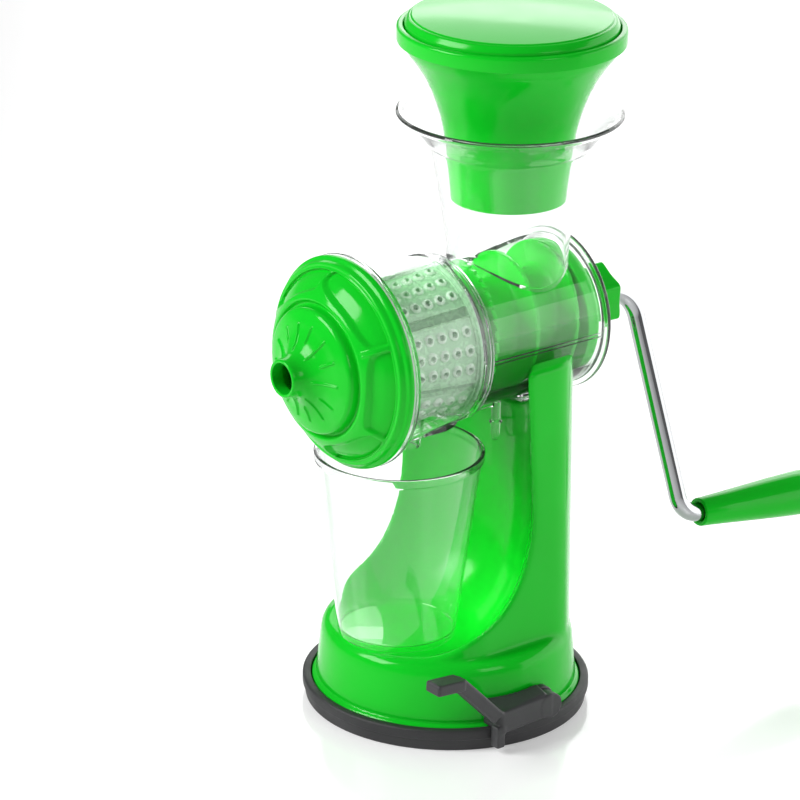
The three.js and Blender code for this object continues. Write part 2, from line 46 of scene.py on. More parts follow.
# ---------------------------------------------------------------- dimensions, in mm
BARREL_Z = 168.8  # height of the axis of the barrel, cap, strainer and auger
BARREL_R = 33.4
CUP_Y = -28.0  # axis of the cup, and of the column's hollow front
HOPPER_Y = 29.8
PIVOT_Y, PIVOT_Z = 6.2, 15.2  # the lever's shaft, which lies along x
SPOUT_Y = -24.0
HEAD_SCREWS = (36.5, 44.5)  # y of the screws into the barrel's foot
DRUM_TOP = 36.6
CRANK_CORNER_Y = 101.0
CRANK_ARM = 108.0
CRANK_ROD_R = 4.0
GRIP_START = 9.6  # from the crank's second bend to the grip


# ---------------------------------------------------------------- camera
CAMERA_TURN = (51.36, 21.49, -0.85)  # azimuth, elevation and roll, in degrees
CAMERA_LENS = 202.5
CAMERA_DISTANCE = 1958.6
CAMERA_OFFSET = (21.38, -35.37)  # sideways and upwards
CAMERA_AIM_Z = 100


def add_camera():
    azimuth, elevation, roll = (math.radians(a) for a in CAMERA_TURN)
    offset_side, offset_rise = CAMERA_OFFSET
    right = Vector((math.cos(azimuth), math.sin(azimuth), 0))
    back = Vector((
        math.sin(azimuth) * math.cos(elevation),
        -math.cos(azimuth) * math.cos(elevation),
        math.sin(elevation),
    ))
    up = back.cross(right)
    side = math.cos(roll) * right - math.sin(roll) * up
    rise = math.sin(roll) * right + math.cos(roll) * up
    place = Vector((0, 0, CAMERA_AIM_Z)) + CAMERA_DISTANCE * back
    place = place - offset_side * side - offset_rise * rise
    data = bpy.data.cameras.new("camera")
    data.sensor_width = 36
    data.lens = CAMERA_LENS
    data.clip_end = 30
    camera = bpy.data.objects.new("camera", data)
    turn = Matrix((side, rise, back)).transposed().to_4x4()
    camera.matrix_world = Matrix.Translation(place * MM) @ turn
    bpy.context.scene.collection.objects.link(camera)
    bpy.context.scene.camera = camera


# ---------------------------------------------------------------- mesh helpers
def axis_frame(origin, along, start):
    """Where a turned piece stands: its origin, axis, and the two directions of its circle."""
    along = np.array(along, float)
    along /= np.linalg.norm(along)
    start = np.array(start, float)
    start -= along * (start @ along)
    start /= np.linalg.norm(start)
    return np.array(origin, float), along, start, np.cross(along, start)


def upright(y=0.0):
    return axis_frame((0, y, 0), (0, 0, 1), (1, 0, 0))


BARREL = (np.array((0.0, 0.0, BARREL_Z)), np.array((0.0, 1.0, 0.0)),
          np.array((1.0, 0.0, 0.0)), np.array((0.0, 0.0, 1.0)))
PIVOT = (np.array((0.0, PIVOT_Y, PIVOT_Z)), np.array((1.0, 0.0, 0.0)),
         np.array((0.0, 1.0, 0.0)), np.array((0.0, 0.0, 1.0)))


def turned_points(where, radius, angle, along):
    origin, axis, u, v = where
    radius, angle, along = np.broadcast_arrays(radius, angle, along)
    return (origin + along[..., None] * axis
            + (radius * np.cos(angle))[..., None] * u + (radius * np.sin(angle))[..., None] * v)


def rounded(points, steps=5):
    """A line of [r, h] or [r, h, radius] points, with an arc at each corner that has a radius."""
    result = []
    for i, point in enumerate(points):
        here = np.array(point[:2], float)
        if len(point) < 3:
            result.append(here)
            continue
        before = np.array(points[i - 1][:2], float) - here
        after = np.array(points[(i + 1) % len(points)][:2], float) - here
        length_a, length_b = np.linalg.norm(before), np.linalg.norm(after)
        before, after = before / length_a, after / length_b
        half = math.acos(max(-1, min(1, before @ after))) / 2
        reach = min(point[2] / max(math.tan(half), 1e-6), 0.48 * length_a, 0.48 * length_b)
        radius = reach * math.tan(half)
        centre = here + (before + after) / np.linalg.norm(before + after) * reach / math.cos(half)
        first = here + before * reach - centre
        last = here + after * reach - centre
        sweep = math.pi - 2 * half
        for k in range(steps + 1):
            t = k / steps
            way = (math.sin((1 - t) * sweep) * first + math.sin(t * sweep) * last) / math.sin(sweep)
            result.append(centre + way / np.linalg.norm(way) * radius)
    return [(float(r), float(h)) for r, h in result]


def volume(points, faces):
    corners = [(face[0], face[i], face[i + 1]) for face in faces for i in range(1, len(face) - 1)]
    a, b, c = np.asarray(points)[np.array(corners).T]
    return float((a * np.cross(b, c)).sum())


def lathe(profile, where, sides=128, shape=None):
    """A closed turned solid. A profile that doesn't start and end on the axis is a closed ring.
    shape(r, angle, h) may move the points of a ring, and returns their radius and height."""
    profile = [p for i, p in enumerate(profile) if i == 0 or math.dist(p, profile[i - 1]) > 1e-4]
    ring = profile[0][0] > 1e-6 or profile[-1][0] > 1e-6
    if ring and math.dist(profile[0], profile[-1]) < 1e-4:
        profile = profile[:-1]
    angle = np.arange(sides) / sides * TAU
    points, starts = [], []
    for r, h in profile:
        starts.append(len(points))
        if r < 1e-6:
            points.extend(turned_points(where, np.zeros(1), np.zeros(1), np.full(1, h)))
            continue
        radius, along = np.full(sides, r), np.full(sides, h)
        if shape:
            radius, along = shape(radius, angle, along)
        points.extend(turned_points(where, radius, angle, along))
    faces = []
    count = len(profile)
    k = np.arange(sides)
    m = (k + 1) % sides
    for i in range(count if ring else count - 1):
        j = (i + 1) % count
        a, b = starts[i], starts[j]
        if profile[i][0] < 1e-6:
            strip = (np.full(sides, a), b + m, b + k)
        elif profile[j][0] < 1e-6:
            strip = (a + k, a + m, np.full(sides, b))
        else:
            strip = (a + k, a + m, b + m, b + k)
        faces.extend(np.stack(strip, axis=1).tolist())
    points = np.array(points)
    if volume(points, faces) < 0:
        faces = [face[::-1] for face in faces]
    return points, faces


def tube(path, radius, sides=24):
    """A round rod along a line of points, its ends chamfered."""
    path = np.array(path, float)
    tangent = np.gradient(path, axis=0)
    tangent /= np.linalg.norm(tangent, axis=1)[:, None]
    side = np.cross(tangent[0], (0.3, 0.2, 1.0))
    side /= np.linalg.norm(side)
    angle = np.arange(sides) / sides * TAU
    points = []
    end_radius = radius * 0.8
    rings = [(0, end_radius)] + [(i, radius) for i in range(len(path))]
    rings.append((len(path) - 1, end_radius))
    for n, (i, r) in enumerate(rings):
        side = side - tangent[i] * (side @ tangent[i])
        side /= np.linalg.norm(side)
        other = np.cross(tangent[i], side)
        chamfer = -0.2 * radius if n == 0 else 0.2 * radius if n == len(rings) - 1 else 0
        centre = path[i] + tangent[i] * chamfer
        points.extend(centre + r * (np.cos(angle)[:, None] * side + np.sin(angle)[:, None] * other))
    faces = [tuple(range(sides))[::-1]]
    for i in range(len(rings) - 1):
        for k in range(sides):
            m = (k + 1) % sides
            faces.append((i * sides + k, i * sides + m, (i + 1) * sides + m, (i + 1) * sides + k))
    faces.append(tuple((len(rings) - 1) * sides + k for k in range(sides)))
    points = np.array(points)
    if volume(points, faces) < 0:
        faces = [face[::-1] for face in faces]
    return points, faces


def rod(radius, low, high, y=0.0, sides=48):
    """A plain upright cylinder."""
    return lathe([(0, low), (radius, low), (radius, high), (0, high)], upright(y), sides)


def slab(low, high, edge=0.0):
    """A box between two corners, its upright edges cut back by edge."""
    (x0, y0, z0), (x1, y1, z1) = low, high
    outline = [(x0 + edge, y0), (x1 - edge, y0), (x1, y0 + edge), (x1, y1 - edge),
               (x1 - edge, y1), (x0 + edge, y1), (x0, y1 - edge), (x0, y0 + edge)]
    if edge == 0:
        outline = [(x0, y0), (x1, y0), (x1, y1), (x0, y1)]
    count = len(outline)
    points = np.array([(x, y, z0) for x, y in outline] + [(x, y, z1) for x, y in outline])
    faces = [tuple(range(count))[::-1], tuple(range(count, 2 * count))]
    for i in range(count):
        j = (i + 1) % count
        faces.append((i, j, j + count, i + count))
    return points, faces


# ---------------------------------------------------------------- distance fields
def blend_min(a, b, k):
    h = np.clip(0.5 + 0.5 * (b - a) / k, 0, 1)
    return b + (a - b) * h - k * h * (1 - h)


def blend_max(a, b, k):
    return -blend_min(-a, -b, k)


def outline_distance(points, x, y):
    """Signed distance to a closed outline of points, negative inside."""
    best = np.full(x.shape, 1e9)
    inside = np.zeros(x.shape, bool)
    for (x0, y0), (x1, y1) in zip(points, points[1:] + points[:1]):
        ex, ey = x1 - x0, y1 - y0
        length = ex * ex + ey * ey
        if length < 1e-12:
            continue
        wx, wy = x - x0, y - y0
        t = np.clip((wx * ex + wy * ey) / length, 0, 1)
        best = np.minimum(best, (wx - t * ex) ** 2 + (wy - t * ey) ** 2)
        crosses = (y0 > y) != (y1 > y)
        if ey != 0:
            inside ^= crosses & (x < x0 + ex * (y - y0) / ey)
    distance = np.sqrt(best)
    return np.where(inside, -distance, distance)


def box_distance(x, y, z, half, rounding):
    q = [np.abs(c) - (h - rounding) for c, h in zip((x, y, z), half)]
    outside = np.sqrt(sum(np.maximum(c, 0) ** 2 for c in q))
    return outside + np.minimum(np.maximum(np.maximum(q[0], q[1]), q[2]), 0) - rounding


def surface_net(field, xs, ys, zs):
    """A closed quad mesh of the surface where field is zero, on a grid of the given planes."""
    grid = np.meshgrid(xs, ys, zs, indexing="ij")
    value = field(*grid)
    points, index = net_points(grid, value)
    faces = np.concatenate([net_faces(value < 0, index, axis) for axis in range(3)])
    for _ in range(4):
        points = onto_surface(field, points)
    return points, faces


def net_points(grid, value):
    """One point in each cell that the surface crosses, and each cell's point number."""
    cells = tuple(n - 1 for n in value.shape)
    total, weight = np.zeros(cells + (3,)), np.zeros(cells)

    def corner(array, offset):
        return array[tuple(slice(o, o + n) for o, n in zip(offset, cells))]

    for axis in range(3):
        others = [a for a in range(3) if a != axis]
        for p in (0, 1):
            for q in (0, 1):
                low = [0, 0, 0]
                low[others[0]], low[others[1]] = p, q
                high = list(low)
                high[axis] = 1
                a, b = corner(value, low), corner(value, high)
                cross = (a < 0) != (b < 0)
                t = np.where(cross, a / np.where(cross, a - b, 1), 0)
                for c in range(3):
                    start, end = corner(grid[c], low), corner(grid[c], high)
                    total[..., c] += np.where(cross, start + t * (end - start), 0)
                weight += cross
    active = weight > 0
    index = np.full(cells, -1)
    index[active] = np.arange(active.sum())
    return total[active] / weight[active][:, None], index


def net_faces(inside, index, axis):
    """The quads round the grid edges along one axis that cross the surface."""
    a1, a2 = (axis + 1) % 3, (axis + 2) % 3
    low = [slice(None)] * 3
    high = [slice(None)] * 3
    low[axis], high[axis] = slice(0, -1), slice(1, None)
    for o in (a1, a2):
        low[o] = high[o] = slice(1, -1)
    before, after = inside[tuple(low)], inside[tuple(high)]
    places = np.argwhere(before != after)
    flip = before[before != after]
    for o in (a1, a2):
        places[:, o] += 1
    quads = []
    for d1, d2 in ((0, 0), (1, 0), (1, 1), (0, 1)):
        cell = places.copy()
        cell[:, a1] -= 1 - d1
        cell[:, a2] -= 1 - d2
        quads.append(index[cell[:, 0], cell[:, 1], cell[:, 2]])
    quads = np.stack(quads, axis=1)
    quads[~flip] = quads[~flip][:, ::-1]
    return quads


def onto_surface(field, points, reach=0.4):
    """Moves the points towards the surface by one Newton step of at most reach."""
    value = field(*points.T)
    slope = np.empty_like(points)
    for c in range(3):
        step = np.zeros(3)
        step[c] = 0.05
        slope[:, c] = (field(*(points + step).T) - field(*(points - step).T)) / 0.1
    square = np.maximum((slope ** 2).sum(axis=1), 0.05)
    move = -(value / square)[:, None] * slope
    length = np.linalg.norm(move, axis=1)[:, None]
    return points + move * np.minimum(1, reach / np.maximum(length, 1e-9))


def planes(low, high, step):
    count = max(2, int(math.ceil((high - low) / step)) + 1)
    return np.linspace(low, high, count)


# ---------------------------------------------------------------- pieces
def piece(name, parts, material, body, nodes, sharp=35):
    """Joins (points, faces) parts in mm into one object and gives it its place in the frame."""
    points, faces = [], []
    count = 0
    for part_points, part_faces in parts:
        points.append(np.asarray(part_points))
        if isinstance(part_faces, np.ndarray):
            faces.extend((part_faces + count).tolist())
        else:
            faces.extend([tuple(i + count for i in face) for face in part_faces])
        count += len(part_points)
    mesh = bpy.data.meshes.new(name)
    mesh.from_pydata((np.concatenate(points) * MM).tolist(), [], faces)
    mesh.validate()
    mesh.shade_smooth()
    if sharp:
        mesh.set_sharp_from_angle(angle=math.radians(sharp))
    mesh.materials.append(material)
    made = bpy.data.objects.new(name, mesh)
    bpy.context.scene.collection.objects.link(made)
    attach(made, body)
    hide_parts(*nodes)
    return made


def apply_modifiers(made):
    bpy.context.view_layer.update()
    evaluated = made.evaluated_get(bpy.context.evaluated_depsgraph_get())
    mesh = bpy.data.meshes.new_from_object(evaluated)
    made.modifiers.clear()
    old = made.data
    made.data = mesh
    bpy.data.meshes.remove(old)


def carve(made, steps, sharp=35):
    """Adds, cuts or intersects closed (points, faces) shapes, in order."""
    tools = []
    for operation, (points, faces) in steps:
        mesh = bpy.data.meshes.new("tool")
        mesh.from_pydata((np.asarray(points) * MM).tolist(), [], [tuple(f) for f in faces])
        tool = bpy.data.objects.new("tool", mesh)
        bpy.context.scene.collection.objects.link(tool)
        tools.append(tool)
        modifier = made.modifiers.new("carve", "BOOLEAN")
        modifier.operation = operation
        modifier.solver = "EXACT"
        modifier.object = tool
    apply_modifiers(made)
    made.data.shade_smooth()
    made.data.set_sharp_from_angle(angle=math.radians(sharp))
    for tool in tools:
        bpy.data.objects.remove(tool)


# ---------------------------------------------------------------- materials
def new_material(name, **values):
    material = bpy.data.materials.new(name)
    material.use_nodes = True
    shader = material.node_tree.nodes["Principled BSDF"]
    for key, value in values.items():
        shader.inputs[key.replace("_", " ")].default_value = value
    return material, material.node_tree, shader


def noise(tree, scale, detail=2.0):
    where = tree.nodes.get("place") or tree.nodes.new("ShaderNodeTexCoord")
    where.name = "place"
    node = tree.nodes.new("ShaderNodeTexNoise")
    node.inputs["Scale"].default_value = scale
    node.inputs["Detail"].default_value = detail
    tree.links.new(where.outputs["Object"], node.inputs["Vector"])
    return node.outputs["Fac"]


NOISE_LOW, NOISE_HIGH = 0.3, 0.7  # where most of the noise lies


def vary(tree, source, target, low, high):
    """Drives a number from noise, between two values."""
    node = tree.nodes.new("ShaderNodeMapRange")
    node.inputs["From Min"].default_value = NOISE_LOW
    node.inputs["From Max"].default_value = NOISE_HIGH
    node.inputs["To Min"].default_value = low
    node.inputs["To Max"].default_value = high
    tree.links.new(source, node.inputs["Value"])
    tree.links.new(node.outputs["Result"], target)


def vary_colour(tree, source, target, low, high):
    node = tree.nodes.new("ShaderNodeValToRGB")
    node.color_ramp.elements[0].position = NOISE_LOW
    node.color_ramp.elements[0].color = low
    node.color_ramp.elements[1].position = NOISE_HIGH
    node.color_ramp.elements[1].color = high
    tree.links.new(source, node.inputs["Fac"])
    tree.links.new(node.outputs["Color"], target)


def bumpy(tree, source, shader, height, strength):
    node = tree.nodes.new("ShaderNodeBump")
    node.inputs["Distance"].default_value = height
    node.inputs["Strength"].default_value = strength
    tree.links.new(source, node.inputs["Height"])
    tree.links.new(node.outputs["Normal"], shader.inputs["Normal"])


def let_lamps_through(tree, shader, tint):
    """A shortcut: shadow rays meet a plain tint, so clear pieces cast almost no shadow."""
    path = tree.nodes.new("ShaderNodeLightPath")
    plain = tree.nodes.new("ShaderNodeBsdfTransparent")
    plain.inputs["Color"].default_value = tint
    mix = tree.nodes.new("ShaderNodeMixShader")
    tree.links.new(path.outputs["Is Shadow Ray"], mix.inputs[0])
    tree.links.new(shader.outputs[0], mix.inputs[1])
    tree.links.new(plain.outputs[0], mix.inputs[2])
    tree.links.new(mix.outputs[0], tree.nodes["Material Output"].inputs["Surface"])


# Tints of the strainer's plain wall, of its bumps (a painted highlight), and of its pits and bands
# (painted shade).
STRAINER_TINTS = {
    "frosted": ((0.42, 0.74, 0.44, 1), (0.50, 0.80, 0.52, 1)),
    "frosted_painted_highlight": ((0.76, 0.94, 0.76, 1), (0.82, 0.97, 0.82, 1)),
    "frosted_painted_shade": ((0.22, 0.48, 0.24, 1), (0.28, 0.54, 0.30, 1)),
}


def make_materials():
    green, tree, shader = new_material("green_plastic", Roughness=0.12, Specular_IOR_Level=0.22)
    vary_colour(tree, noise(tree, 18), shader.inputs["Base Color"],
                (0.003, 0.56, 0.014, 1), (0.005, 0.62, 0.020, 1))
    vary(tree, noise(tree, 60, 3), shader.inputs["Roughness"], 0.10, 0.16)
    bumpy(tree, noise(tree, 900, 1), shader, 0.00002, 0.35)

    charcoal, tree, shader = new_material("charcoal_plastic")
    vary_colour(tree, noise(tree, 40), shader.inputs["Base Color"],
                (0.030, 0.030, 0.033, 1), (0.038, 0.038, 0.041, 1))
    vary(tree, noise(tree, 120, 3), shader.inputs["Roughness"], 0.38, 0.48)
    bumpy(tree, noise(tree, 2600, 3), shader, 0.00006, 0.5)

    rubber, tree, shader = new_material("black_rubber")
    vary_colour(tree, noise(tree, 30, 4), shader.inputs["Base Color"],
                (0.020, 0.020, 0.022, 1), (0.030, 0.030, 0.032, 1))
    vary(tree, noise(tree, 90, 3), shader.inputs["Roughness"], 0.5, 0.62)
    bumpy(tree, noise(tree, 3200, 3), shader, 0.00006, 0.5)

    clear, tree, shader = new_material(
        "clear_plastic", Base_Color=(0.97, 0.99, 0.98, 1), Transmission_Weight=0.985, IOR=1.42,
        Roughness=0.02)
    vary(tree, noise(tree, 50, 2), shader.inputs["Roughness"], 0.005, 0.02)
    let_lamps_through(tree, shader, (0.93, 0.96, 0.94, 1))

    frosted = {}
    for name, (low, high) in STRAINER_TINTS.items():
        frosted[name], tree, shader = new_material(name, Transmission_Weight=0.18, IOR=1.4)
        vary_colour(tree, noise(tree, 90, 3), shader.inputs["Base Color"], low, high)
        vary(tree, noise(tree, 300, 3), shader.inputs["Roughness"], 0.22, 0.32)

    nylon, tree, shader = new_material("nylon")
    vary_colour(tree, noise(tree, 60), shader.inputs["Base Color"],
                (0.72, 0.72, 0.68, 1), (0.78, 0.78, 0.74, 1))
    vary(tree, noise(tree, 200), shader.inputs["Roughness"], 0.4, 0.5)

    silicone, tree, shader = new_material("silicone", Transmission_Weight=0.3)
    vary_colour(tree, noise(tree, 60), shader.inputs["Base Color"],
                (0.80, 0.82, 0.80, 1), (0.86, 0.88, 0.86, 1))
    vary(tree, noise(tree, 200), shader.inputs["Roughness"], 0.45, 0.55)

    chrome, tree, shader = new_material("chrome", Metallic=1.0)
    vary_colour(tree, noise(tree, 40), shader.inputs["Base Color"],
                (0.44, 0.45, 0.46, 1), (0.50, 0.51, 0.52, 1))
    vary(tree, noise(tree, 150, 4), shader.inputs["Roughness"], 0.04, 0.09)
    return dict(green=green, charcoal=charcoal, rubber=rubber, clear=clear, nylon=nylon,
                silicone=silicone, chrome=chrome, **frosted)


# ---------------------------------------------------------------- suction base
def suction_foot(looks):
    profile = rounded([
        (0, 1.6), (46, 1.6), (51, 0.9), (54, 0), (61.9, 0, 0.9), (62.3, 5.0, 0.5), (63.2, 5.5, 0.5),
        (63.2, 9.8, 1.2), (59.5, 9.8, 0.5), (59.5, 4.2, 0.8), (57, 3.1, 1), (0, 3.0),
    ])
    piece("suction_foot", [lathe(profile, upright(), 160)], looks["rubber"], "stand",
          ["suction_pad"])


HOLLOW_STEPS = 20


def hollow_outline():
    """The turned cutter that hollows the front of the column, in radius and height."""
    outline = [(-60.0, DRUM_TOP), (27.0, DRUM_TOP)]
    for i in range(1, HOLLOW_STEPS + 1):
        angle = i / HOLLOW_STEPS * math.pi / 2
        outline.append((58.3 - 31.3 * (1 - math.sin(angle)), 97 - 60.4 * math.cos(angle)))
    return outline + [(52.9, 220.0), (-60.0, 220.0)]


def column_distance(x, y, z):
    flat = np.abs(x) - 46
    front_share = 0.5 - 0.5 * np.tanh(y / 10)
    draft = 0.013 * np.maximum(z - DRUM_TOP, 0) * (1 - front_share)
    around = np.hypot(x, y) - (54 - 3.5 * front_share - draft)
    side = blend_max(flat, around, 3.0)
    column = blend_max(side, z - 162.8, 2.2)
    hollow = -outline_distance(hollow_outline(), np.hypot(x, y - CUP_Y), z)
    column = blend_max(column, hollow, 3.2)
    saddle = 36.2 - np.hypot(x, z - BARREL_Z)
    return blend_max(column, saddle, 2.6)


def drum_distance(x, y, z):
    profile = [
        (-60, 3.3), (58.7, 3.3), (59.1, 3.8), (59.1, 8.8), (58.7, 9.6), (58.0, 10.1), (57.5, 10.3),
        (57.2, 10.7), (57.1, 11.2), (57.3, 11.8), (57.2, 13.4), (56.7, 16.5), (55.4, 30.0),
        (54.9, 32.6), (53.9, 34.6), (52.4, 36.0), (50.8, 36.55), (49.5, DRUM_TOP), (-60, DRUM_TOP),
    ]
    return outline_distance(profile, np.hypot(x, y), z)


def outside_distance(x, y, z):
    column = np.maximum(column_distance(x, y, z), 30 - z)
    return blend_min(drum_distance(x, y, z), column, 1.6)


def room_distance(x, y, z):
    """The hollow inside the shell, which is open underneath."""
    return np.maximum(outside_distance(x, y, np.maximum(z, 6.5)) + 2.6, -(z + 4))


def stand_shell(looks):
    step = 1.4
    heights = np.concatenate([planes(2.0, 13.4, 0.6)[:-1], planes(13.4, 165, step)])
    net = surface_net(outside_distance, planes(-61, 61, step), planes(-61, 61, step), heights)
    made = piece("stand_shell", [net], looks["green"], "stand", ["base_shell"], sharp=0)
    room = surface_net(room_distance, planes(-58, 58, 3), planes(-58, 58, 3), planes(-6, 162, 3))
    shaft = lathe([(0, 48), (4.4, 48), (4.4, 65), (0, 65)], PIVOT, 48)
    screws = [("DIFFERENCE", rod(2.3, 120, 140, y, 24)) for y in HEAD_SCREWS]
    carve(made, [("DIFFERENCE", room), ("DIFFERENCE", shaft)] + screws, sharp=50)


def lever_shape(x, y, z):
    """The lever's block, round rear, shoulder, foot, arm and paddle, where it is released."""
    tilt = 0.09 * (y + 7)
    block = box_distance(x - 62.55, y + 7.6, z - 15.0 - 0.5 * tilt, (2.95, 14.4, 5.2), 1.2)
    rear = np.maximum(np.hypot(y - PIVOT_Y, z - PIVOT_Z) - 5.7, np.abs(x - 62.55) - 2.95)
    shoulder = box_distance(x - 57.6, y + 9.0, z - 17.0, (7.0, 13.0, 7.0), 1.2)
    top = z - (20.2 + tilt + 0.28 * np.maximum(65.5 - x, 0))
    shoulder = blend_max(shoulder, top, 0.9)
    shoulder = np.maximum(shoulder, 57.5 - np.hypot(x, y))
    foot = box_distance(x - 63.0, y + 21.7, z - 7.8, (2.5, 2.2, 5.0), 0.9)
    body = blend_min(blend_min(block, rear, 0.8), shoulder, 0.5)
    body = blend_min(body, foot, 1.2)
    arm = segment_slab(x, y, z, (-23.5, 18.0), (-43.8, 38.4), 3.2, 62.4, 3.0)
    paddle = segment_slab(x, y, z, (-44.0, 39.0), (-57.2, 40.0), 2.5, 62.4, 4.7)
    return blend_min(blend_min(body, arm, 1.6), paddle, 1.4)


def segment_slab(x, y, z, start, end, half_thick, mid_x, half_wide):
    """A rounded slab between two [y, z] points, half_wide to each side of mid_x."""
    (y0, z0), (y1, z1) = start, end
    length = math.hypot(y1 - y0, z1 - z0)
    cy, cz = (y0 + y1) / 2, (z0 + z1) / 2
    uy, uz = (y1 - y0) / length, (z1 - z0) / length
    along = (y - cy) * uy + (z - cz) * uz
    across = (y - cy) * -uz + (z - cz) * uy
    return box_distance(x - mid_x, along, across,
                        (half_wide, length / 2 + 1, half_thick), min(1.1, half_thick * 0.8))


def suction_lever(looks):
    step = 0.55
    net = surface_net(lever_shape, planes(50, 69, step), planes(-62, 13, step), planes(0, 46, step))
    piece("suction_lever_arm", [net], looks["charcoal"], "lever", ["suction_lever"],
          sharp=0)
    bush = rounded([(0, 55.0), (6.6, 55.0), (6.6, 58.9, 0.8), (0, 58.9)])
    boss = lathe(bush, PIVOT, 64)
    piece("lever_boss", [boss], looks["charcoal"], "stand", ["lever_bush"])


# ---------------------------------------------------------------- clear head
BARREL_RIBS = (-3.9, -6.6)  # degrees round the barrel
HOPPER_SEAT_R = 33.6  # the round that the hopper's lower edge follows
HOPPER_LOW = 204.0  # height of the rings that are laid on that round


def feed_barrel(looks):
    """The barrel with its rear flange, the paired ribs along its side, the foot, web and peg."""
    profile = rounded([
        (31.9, -8.7, 0.4), (BARREL_R, -8.7, 0.4), (BARREL_R, -5.0), (BARREL_R, -4.6),
        (BARREL_R, 56.0), (BARREL_R, 57.4, 0.8), (36.0, 57.4, 0.7), (36.0, 59.4, 0.7),
        (9.4, 59.4, 0.3), (9.4, 57.4, 0.3), (31.9, 57.4, 1.0),
    ])

    def ribbed(radius, angle, along):
        if abs(radius[0] - BARREL_R) > 0.1 or not -5 < along[0] < 56.5:
            return radius, along
        turn = np.degrees(np.angle(np.exp(1j * angle)))
        lines = sum(np.exp(-((turn - place) / 0.42) ** 4) for place in BARREL_RIBS)
        return radius + 0.5 * lines, along

    made = piece("barrel_tube", [lathe(profile, BARREL, 900, ribbed)], looks["clear"], "stand",
                 ["feed_barrel"])
    peg = rounded([(0, 113.4), (1.2, 113.6, 0.4), (2.0, 116.2, 0.5), (2.0, 121.6), (2.9, 121.8, 0.2),
                   (2.9, 122.8, 0.2), (2.0, 123.0), (2.0, 131.5), (0, 131.5)], 4)
    carve(made, [
        ("UNION", slab((-1.0, 14, 129.9), (1.0, 27, 136.2), 0.3)),
        ("UNION", lathe(peg, upright(25.6), 32)),
        ("UNION", slab((-6, 33.5, 133.2), (6, 50.5, 136.4), 1.0)),
        ("DIFFERENCE", rod(25.1, 175, 215, HOPPER_Y, 128)),
    ] + [("DIFFERENCE", rod(2.1, 130, 136.3, y, 24)) for y in HEAD_SCREWS])


def feed_hopper(looks):
    """The funnel, whose lower edge follows the barrel."""
    outer = [(26.6, HOPPER_LOW), (27.0, 207), (28.7, 218), (30.0, 226), (33.9, 246), (36.0, 250.2),
             (39.2, 254.4), (43.0, 258.2), (46.8, 261.2), (47.6, 261.8)]
    rim = [(48.5, 262.2), (49.0, 263.0), (48.7, 263.8), (47.8, 264.2), (46.9, 263.8), (46.1, 262.8)]
    inner = [(r - 1.5, z + 0.35) for r, z in reversed(outer[:-1])]

    def sit(radius, angle, along):
        if along[0] > HOPPER_LOW + 0.5:
            return radius, along
        x = radius * np.cos(angle)
        return radius, BARREL_Z + np.sqrt(HOPPER_SEAT_R ** 2 - x ** 2)

    points, faces = lathe(smooth_line(outer) + rim + smooth_line(inner), upright(HOPPER_Y), 160, sit)
    piece("hopper_funnel", [(points, faces)], looks["clear"], "stand", ["feed_hopper"])


def smooth_line(points, steps=4):
    """A Catmull-Rom line through the points."""
    pts = [np.array(p, float) for p in points]
    pts = [2 * pts[0] - pts[1]] + pts + [2 * pts[-1] - pts[-2]]
    result = []
    for i in range(1, len(pts) - 2):
        a, b, c, d = pts[i - 1:i + 3]
        for k in range(steps):
            t = k / steps
            result.append(0.5 * (2 * b + (c - a) * t + (2 * a - 5 * b + 4 * c - d) * t * t
                                 + (3 * b - a - 3 * c + d) * t ** 3))
    result.append(pts[-2])
    return [(float(p[0]), float(p[1])) for p in result]


def juice_chamber(looks):
    """The clear chamber: a cone with a flange and a collar, and the trough and spout below it."""
    profile = rounded([
        (39.2, -55.3, 0.4), (46.3, -55.3, 0.5), (46.3, -53.6, 0.5), (41.6, -53.6, 0.8), (36.7, -13.2),
        (36.5, -12.2, 0.5), (37.1, -11.4, 0.4), (37.1, -6.6, 0.8), (35.9, -5.8, 0.5), (33.7, -5.8, 0.3),
        (33.7, -8.9, 0.2), (34.2, -9.1, 0.2), (34.5, -14.0, 0.8), (39.2, -50.4, 0.5),
    ])
    made = piece("chamber_shell", [lathe(profile, BARREL, 256)], looks["clear"], "stand",
                 ["juice_chamber"])
    trough = lathe(rounded([
        (30, -54.2), (39.9, -54.2), (39.9, -15, 3), (38.8, -10.4, 3), (36.0, -8.2), (30, -8.2),
    ]), BARREL, 256)
    keep = slab((-16, -54.3, 120), (16, -8, 150))
    inside = lathe([
        (0, -56), (39.2, -56), (39.2, -50.4), (34.5, -14.0), (34.2, -9.1), (34.2, -7), (0, -7),
    ], BARREL, 256)
    room = lathe(rounded([
        (0, -56), (37.9, -56), (37.9, -18.6, 3), (36.8, -14.8, 2), (34.4, -13.6), (0, -13.6),
    ]), BARREL, 256)
    room_sides = slab((-14.2, -57, 118), (14.2, -8, 150))
    spout = rounded([(0, 122.7), (6.0, 122.7, 0.5), (6.0, 134), (0, 134)])
    below = solid_of([("INTERSECT", trough, keep), ("INTERSECT", room, room_sides)])
    carve(made, [
        ("UNION", below[0]),
        ("UNION", lathe(spout, upright(SPOUT_Y), 48)),
        ("DIFFERENCE", below[1]),
        ("DIFFERENCE", inside),
        ("DIFFERENCE", rod(4.2, 118, 137, SPOUT_Y)),
    ])


def solid_of(pairs):
    """The (points, faces) left by one boolean on each pair of shapes."""
    results = []
    for operation, first, second in pairs:
        mesh = bpy.data.meshes.new("blank")
        mesh.from_pydata((np.asarray(first[0]) * MM).tolist(), [], [tuple(f) for f in first[1]])
        blank = bpy.data.objects.new("blank", mesh)
        bpy.context.scene.collection.objects.link(blank)
        carve(blank, [(operation, second)])
        points = np.array([v.co[:] for v in blank.data.vertices]) / MM
        results.append((points, [tuple(f.vertices) for f in blank.data.polygons]))
        bpy.data.objects.remove(blank)
    return results


